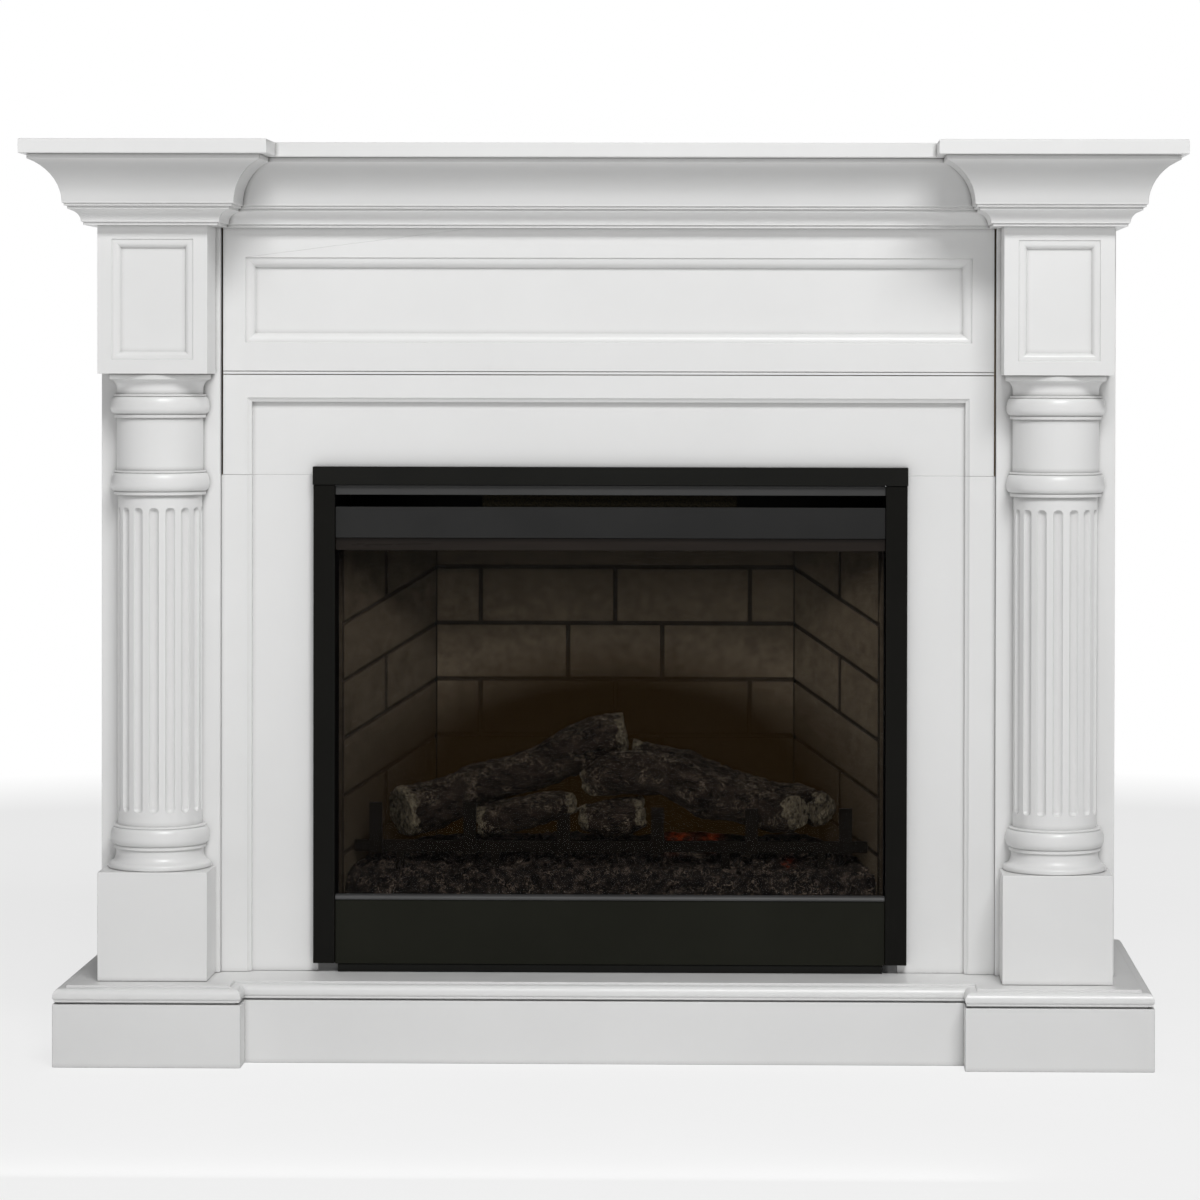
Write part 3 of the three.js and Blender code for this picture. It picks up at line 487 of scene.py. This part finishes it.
def ring_points(bottom, top, root):
    """A turned ring, widest low down, between two fillets, as [radius, height] in millimetres."""
    fillet = 56.6
    ring_radius = 60.6
    low = bottom + 5.2
    high = top - 2.6
    widest = bottom + 8 + (top - bottom - 10) * 0.28
    reach = ring_radius - fillet + 1
    lower = [(fillet - 1 + reach * math.cos(a), widest + (widest - low) * math.sin(a))
             for a in [math.radians(-78 + 78 * i / 8) for i in range(9)]]
    upper = [(fillet - 1 + reach * math.cos(a), widest + (high - widest) * math.sin(a))
             for a in [math.radians(72 * i / 12) for i in range(1, 13)]]
    return [
        (root, bottom), (fillet - 0.8, bottom + 0.5), (fillet - 0.3, bottom + 1.1),
        (fillet - 0.3, bottom + 4.2), (fillet - 0.9, bottom + 4.7), *lower, *upper,
        (fillet - 0.8, top - 2.5), (fillet - 0.1, top - 2.1),
        (fillet - 0.1, top - 0.4), (fillet - 0.6, top),
    ]


def column_profile():
    """The turned outline from the foot to the cap, as [radius, height] in millimetres."""
    foot_radius = 63
    scotia_radius = 53.6
    scotia_top = 250
    cap_radius = 62
    scotia_deep = foot_radius - 1.6 - scotia_radius
    scotia_high = scotia_top - COLUMN_FOOT - 7.4
    scotia = [(foot_radius - 1.6 + scotia_deep * math.cos(a), scotia_top + scotia_high * math.sin(a))
              for a in [math.radians(255 - 75 * i / 12) for i in range(13)]]
    cove_deep = cap_radius - 1.4 - DRUM_RADIUS
    cove = [(cap_radius - 1.4 + cove_deep * math.cos(a), 819 + 11.6 * math.sin(a))
            for a in [math.radians(180 - 78 * i / 12) for i in range(13)]]
    shaft = [(SHAFT_RADIUS, z) for z in flute_heights()]
    return [
        (foot_radius - 0.7, COLUMN_FOOT), (foot_radius, COLUMN_FOOT + 0.7),
        (foot_radius, COLUMN_FOOT + 4.2), (foot_radius - 0.5, COLUMN_FOOT + 5.6),
        (foot_radius - 1.6, COLUMN_FOOT + 6.8),
        *scotia, *ring_points(254.9, 284.2, scotia_radius), (SHAFT_RADIUS, 284.6), *shaft,
        *ring_points(689.2, 719.4, SHAFT_RADIUS), (DRUM_RADIUS, 719.8),
        *ring_points(783.8, 813, DRUM_RADIUS), (DRUM_RADIUS, 813.4), *cove,
        (cap_radius - 0.4, 831.4), (cap_radius, 832.2), (cap_radius, COLUMN_TOP - 0.6),
        (cap_radius - 0.6, COLUMN_TOP),
    ]


def flute_heights():
    """Rows close together over the round ends of the flutes and far apart between them."""
    low, high = FLUTE_ENDS
    steps = [FLUTE_RADIUS * math.cos(math.radians(a)) for a in range(0, 91, 9)]
    start = [low - s for s in steps]
    end = [high + s for s in reversed(steps)]
    between = [low + (high - low) * i / 12 for i in range(1, 12)]
    return [290, 296, *start, *between, *end, 680, 686]


def fluted(radius, angle, z):
    """The surface's distance from the axis once the nearest flute has been cut."""
    low, high = FLUTE_ENDS
    beyond = max(low - z, z - high, 0.0)
    if beyond >= FLUTE_RADIUS or abs(radius - SHAFT_RADIUS) > 0.01:
        return radius
    pitch = 2 * math.pi / FLUTES
    off = angle - pitch * round(angle / pitch)
    cutter = math.sqrt(FLUTE_RADIUS ** 2 - beyond ** 2)
    inside = cutter ** 2 - (FLUTE_OUT * math.sin(off)) ** 2
    if inside <= 0:
        return radius
    return min(radius, FLUTE_OUT * math.cos(off) - math.sqrt(inside))


def column_angles():
    """Angles from the front, from flat back to flat back, closest at the flutes' edges."""
    pitch = 2 * math.pi / FLUTES
    half = math.asin(FLUTE_RADIUS / FLUTE_OUT)
    bite = [half * f for f in (0.0, 0.25, 0.48, 0.68, 0.83, 0.93, 0.985)]
    rim = half * 0.999
    land = [rim + 0.004, rim + 0.012, (rim + pitch / 2) / 2, pitch / 2]
    right = [*bite, rim, *land]
    left = [-a for a in [*bite, rim, *land[:3]]]
    one = sorted({round(a, 5) for a in [*right, *left]})
    count = FLUTES // 4
    return [a + i * pitch for i in range(-count, count + 1) for a in one]


def make_column(side, sign, paint):
    """A turned half column, cut flat where it meets the board behind it."""
    flat_y = COLUMN_BACK - COLUMN_Y
    profile = column_profile()
    angles = column_angles()
    form = bmesh.new()
    rows = []
    for radius, z in profile:
        edge = math.pi - math.acos(min(1.0, flat_y / radius))
        row = []
        for angle in angles:
            turned = max(-edge, min(edge, angle))
            out = fluted(radius, turned, z)
            x = out * math.sin(turned)
            y = min(-out * math.cos(turned), flat_y)
            row.append(form.verts.new(((sign * COLUMN_X + x) * MM, (COLUMN_Y + y) * MM, z * MM)))
        half = math.sqrt(radius ** 2 - flat_y ** 2)
        corners = [form.verts.new(((sign * COLUMN_X + x) * MM, COLUMN_BACK * MM, z * MM))
                   for x in (-half, half)]
        rows.append([corners[0], *row, corners[1]])
    for low, high in zip(rows, rows[1:]):
        for i in range(len(low) - 1):
            form.faces.new((low[i], low[i + 1], high[i + 1], high[i]))
        form.faces.new((low[-1], low[0], high[0], high[-1]))
    form.faces.new(list(reversed(rows[0])))
    form.faces.new(rows[-1])
    bmesh.ops.remove_doubles(form, verts=form.verts, dist=0.02 * MM)
    bmesh.ops.dissolve_degenerate(form, edges=form.edges, dist=0.01 * MM)
    bmesh.ops.recalc_face_normals(form, faces=form.faces)
    mesh = bpy.data.meshes.new(f"turned_column_{side}")
    form.to_mesh(mesh)
    form.free()
    smooth_by_angle(mesh, 38)
    return new_piece(mesh.name, mesh, "white_paint", paint, f"column_{side}")


def roughened(node, name, slot, material, levels, size, amount, swell=0.0, along=(1, 1, 1),
              end_material=None):
    """The node's shape divided finely and pushed in and out like bark or broken stone.

    The size and the amount are those of its relief, in metres. Its flat ends can take a finish of
    their own, with a ragged edge.
    """
    form = bmesh.new()
    form.from_mesh(NODES[node].data)
    bmesh.ops.remove_doubles(form, verts=form.verts, dist=WELD)
    flat = math.radians(0.3)
    bmesh.ops.dissolve_limit(form, angle_limit=flat, verts=form.verts, edges=form.edges)
    crease = form.edges.layers.float.new("crease_edge")
    ends = []
    for face in form.faces:
        if len(face.verts) > 4:
            ends.append((face.calc_center_median(), face.normal.copy()))
            for edge in face.edges:
                edge[crease] = 1.0
    bmesh.ops.triangulate(form, faces=[f for f in form.faces if len(f.verts) > 4])
    mesh = bpy.data.meshes.new(name)
    form.to_mesh(mesh)
    form.free()
    piece = new_piece(name, mesh, slot, material, node)
    divide = piece.modifiers.new("divide", "SUBSURF")
    divide.subdivision_type = "CATMULL_CLARK"
    divide.levels = divide.render_levels = levels
    divided = piece.evaluated_get(bpy.context.evaluated_depsgraph_get())
    shaped = bpy.data.meshes.new_from_object(divided)
    piece.modifiers.clear()
    piece.data = shaped
    shaped.name = name
    pushes = []
    for vertex in shaped.vertices:
        at = Vector([c * s / size for c, s in zip(vertex.co, along)])
        furrow = abs(noise.noise(at * 1.7)) + 0.5 * abs(noise.noise(at * 4.3))
        depth = 0.7 * noise.fractal(at, 0.9, 2.1, 4) + 1.8 * furrow
        pushes.append(vertex.normal * (amount * (depth - 0.45) + swell))
    for vertex, push in zip(shaped.vertices, pushes):
        vertex.co += push
    for polygon in shaped.polygons:
        polygon.use_smooth = True
    if end_material is not None:
        shaped.materials.append(end_material)
        for polygon in shaped.polygons:
            ragged = CUT_END * (1 + noise.noise(polygon.center * 90))
            if any((polygon.center - center).dot(normal) > -ragged for center, normal in ends):
                polygon.material_index = 1
    return piece


def make_lumps(material):
    """Broken embers heaped over the bed, as one piece."""
    rng = random.Random(11)
    low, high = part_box("ember_bed")
    front = low[1]
    form = bmesh.new()
    for _ in range(LUMPS):
        back = rng.random() ** 1.7
        y = front + 0.008 + back * 0.075
        half = 0.325 - back * 0.062
        x = 0.003 + rng.uniform(-half, half)
        z = 0.200 + min(back * 3.0, 1.0) * 0.031 + back * 0.010 + rng.uniform(-0.004, 0.005)
        size = rng.uniform(*LUMP_SIZES)
        spin = Euler([rng.uniform(0, 6.28) for _ in range(3)]).to_matrix().to_4x4()
        stretch = Matrix.Diagonal((rng.uniform(0.8, 1.7), rng.uniform(0.6, 1.0), rng.uniform(0.5, 0.9), 1))
        place = Matrix.Translation((x, y, z)) @ spin @ stretch
        lump = bmesh.ops.create_icosphere(form, subdivisions=2, radius=size, matrix=place)
        seed = Vector((rng.uniform(0, 50), 0, 0))
        for vertex in lump["verts"]:
            push = noise.noise((vertex.co * 170) + seed) * 1.1
            vertex.co += (vertex.co - Vector((x, y, z))) * push
    for vertex in form.verts:
        vertex.co.y = max(vertex.co.y, front)
    mesh = bpy.data.meshes.new("ember_lumps")
    form.to_mesh(mesh)
    form.free()
    smooth_by_angle(mesh, 24)
    return new_piece("ember_lumps", mesh, "embers", material)


# Stage

def floor_material():
    """A pale floor that turns into the white of the studio away from the object."""
    s = Shader("pale_floor")
    grain = s.noise(3, 4)
    near = s.ramp(grain, [(0.3, (0.70, 0.70, 0.70)), (0.7, (0.74, 0.74, 0.74))])
    square = s.math("ADD", s.math("POWER", s.axis("X"), 2.0), s.math("POWER", s.axis("Y"), 2.0))
    away = s.span(s.math("POWER", square, 0.5), *FLOOR_FADE, 0.0, 1.0)
    seen = s.nodes.new("ShaderNodeLightPath").outputs["Is Camera Ray"]
    bright = s.math("MAXIMUM", away, s.math("MULTIPLY", seen, FLOOR_WHITE))
    glow = s.blend(bright, (0, 0, 0, 1), (WORLD_SEEN, WORLD_SEEN, WORLD_SEEN, 1))
    s.feed(s.bsdf.inputs["Emission Color"], glow)
    color = s.blend(bright, near, (0, 0, 0, 1))
    return s.finish(color, s.span(grain, 0.3, 0.7, 0.6, 0.7), Emission_Strength=1.0,
                    Specular_IOR_Level=0.0)


def make_stage():
    form = bmesh.new()
    bmesh.ops.create_grid(form, x_segments=1, y_segments=1, size=FLOOR_HALF)
    mesh = bpy.data.meshes.new("studio_floor")
    form.to_mesh(mesh)
    form.free()
    floor = bpy.data.objects.new("studio_floor", mesh)
    bpy.context.scene.collection.objects.link(floor)
    mesh.materials.append(floor_material())


def add_light(name, at, target, size, power):
    data = bpy.data.lights.new(name, "AREA")
    data.shape = "RECTANGLE"
    data.size, data.size_y = size
    data.energy = power
    light = bpy.data.objects.new(name, data)
    light.location = at
    light.rotation_euler = (Vector(target) - Vector(at)).to_track_quat("-Z", "Y").to_euler()
    bpy.context.scene.collection.objects.link(light)


def light_scene():
    scene = bpy.context.scene
    scene.view_settings.view_transform = "Standard"
    world = bpy.data.worlds.new("studio")
    scene.world = world
    world.use_nodes = True
    nodes = world.node_tree.nodes
    links = world.node_tree.links
    background = nodes["Background"]
    background.inputs["Color"].default_value = (1, 1, 1, 1)
    seen = nodes.new("ShaderNodeMapRange")
    seen.inputs["To Min"].default_value = WORLD_LIGHT
    seen.inputs["To Max"].default_value = WORLD_SEEN
    links.new(nodes.new("ShaderNodeLightPath").outputs["Is Camera Ray"], seen.inputs["Value"])
    links.new(seen.outputs["Result"], background.inputs["Strength"])
    middle = (0, -0.1, 0.7)
    add_light("front_light", (1.2, -5.3, 5.3), middle, (3.0, 1.8), 301)
    add_light("top_light", (0, -0.8, 3.2), middle, (2.6, 1.4), 4)
    add_light("low_light", (-0.25, -0.90, 0.06), (-0.25, -0.4, 0.08), (1.4, 0.06), 0.55)


def make_camera():
    data = bpy.data.cameras.new("camera")
    data.lens = CAMERA_LENS
    data.sensor_width = 36
    data.shift_x, data.shift_y = CAMERA_SHIFT
    data.clip_end = 200
    camera = bpy.data.objects.new("camera", data)
    aim = Euler((math.radians(90 - CAMERA_PITCH), 0, math.radians(CAMERA_YAW))).to_matrix()
    roll = Matrix.Rotation(math.radians(CAMERA_ROLL), 3, "Z")
    camera.matrix_world = Matrix.Translation(CAMERA_AT) @ (aim @ roll).to_4x4()
    bpy.context.scene.collection.objects.link(camera)
    bpy.context.scene.camera = camera


def dress(node, material):
    """A new finish for a CAD node that keeps its shape."""
    node = NODES[node]
    node.data.materials.clear()
    node.data.materials.append(material)


make_camera()
light_scene()
make_stage()

# Each paint has shade painted into its hollows and joints: fully on the mouldings, faintly on the flat
# panels; the cornice's paint also has painted shade in its cove
PAINT = paint_material("white_satin_paint", (0.30, 0.84))
FAINT_SHADE_PAINT = paint_material("white_panel_paint", (0.16, 0.60))
COVE_PAINT = paint_material("white_cove_paint", (0.22, 0.74), 0.84)
STEEL = steel_material("black_powder_coat", (0.0098, 0.0098, 0.0088), (0.0144, 0.0144, 0.0129))
# The lighter steel edges are partly worn coat and partly a painted highlight
STEEL_LIP = steel_material("black_powder_coat_worn_and_highlit", (0.018, 0.018, 0.018), (0.028, 0.028, 0.028), 0.2)
# Painted shade: the side stiles take a darker copy of the black coat
SHADED_STEEL = steel_material("shaded_powder_coat", (0.0064, 0.0062, 0.0053), (0.0094, 0.0091, 0.0078))
HOOD = steel_material("grey_powder_coat", (0.0218, 0.0218, 0.0216), (0.0305, 0.0305, 0.030))
LOUVRE = steel_material("pale_powder_coat", (0.047, 0.047, 0.047), (0.064, 0.064, 0.063), 0.15)
LOWER = steel_material("lower_powder_coat", (0.0115, 0.0118, 0.0082), (0.0160, 0.0163, 0.0118))
# Painted highlight on the wide steel edges and on the lower panel's ledge
HIGHLIGHT_LIP = steel_material("painted_edge_highlight", (0.042, 0.042, 0.042), (0.070, 0.070, 0.070), 0.3)
HEADER = header_material()
LOG = log_material()
CUT_WOOD = cut_wood_material()
BRICK = liner_material("sooty_bricks", (0.059, 0.045, 0.030), (0.089, 0.069, 0.046), (0.140, 0.110, 0.075))
# Painted shade: the left liner wall takes a darker copy of the bricks
SHADED_BRICK = liner_material("shaded_bricks", (0.036, 0.028, 0.019), (0.055, 0.043, 0.029),
                            (0.086, 0.067, 0.046))
MORTAR = liner_material("dark_mortar", (0.016, 0.012, 0.009), (0.026, 0.020, 0.014), (0.042, 0.033, 0.024))
EMBER = ember_material()
BOARD = board_material()
IRON = iron_material("matt_black_iron", (0.0026, 0.0018, 0.0011), (0.0055, 0.0040, 0.0026))
IRON_LIP = iron_material("rubbed_iron", (0.008,) * 3, (0.022,) * 3)
STEEL_FINISHES = {
    "hood_panel": HOOD, "louvre_strip": LOUVRE, "glass_header": HEADER, "lower_panel": LOWER,
    "trim_left": SHADED_STEEL, "trim_right": SHADED_STEEL,
}

for side, sign in (("left", -1), ("right", 1)):
    make_column(side, sign, PAINT)
for node in WHITE_NODES:
    if not node.startswith("column_"):
        finish = FAINT_SHADE_PAINT if node.startswith(PANELS) else PAINT
        finish = COVE_PAINT if node.startswith("cornice_") else finish
        edge = FINE_EDGE if node.startswith(FINE_EDGED) else BOARD_EDGE
        eased(node, node + "_painted", "white_paint", finish, edge)
for node in STEEL_NODES:
    highlit = node in HIGHLIT_NODES
    edge = HIGHLIT_EDGE if highlit else STEEL_EDGE
    lip = HIGHLIGHT_LIP if highlit else STEEL_LIP
    piece = eased(node, node + "_coated", "black_steel", STEEL_FINISHES.get(node, STEEL), edge, lip)
    # The lower panel's ledge is painted bright as a highlight
    if node == "lower_panel":
        for polygon in piece.data.polygons:
            if polygon.center.z > LEDGE_LOW:
                polygon.material_index = 1
for node in ("top_back_rail", "base_back_rail", "joint_backing"):
    eased(node, node + "_board", "bare_board", BOARD, BARE_EDGE)
dress("outlet_grille", mesh_material())
dress("glass_pane", glass_material())
for node in ("brick_back", "brick_side_left", "brick_side_right"):
    masonry(node, node + "_moulded", SHADED_BRICK if node == "brick_side_left" else BRICK, MORTAR)
eased("grate", "grate_bars", "grate_iron", IRON, BOARD_EDGE, IRON_LIP)
for node in ("log_left", "log_right", "log_rear", "log_short_left", "log_short_right"):
    roughened(node, node + "_bark", "charred_log", LOG, 4, BARK_SIZE, BARK_DEPTH, BARK_SWELL,
              BARK_STRETCH, CUT_WOOD)
roughened("ember_bed", "ember_crust", "embers", EMBER, 2, 0.012, 2.5 * MM)
make_lumps(EMBER)
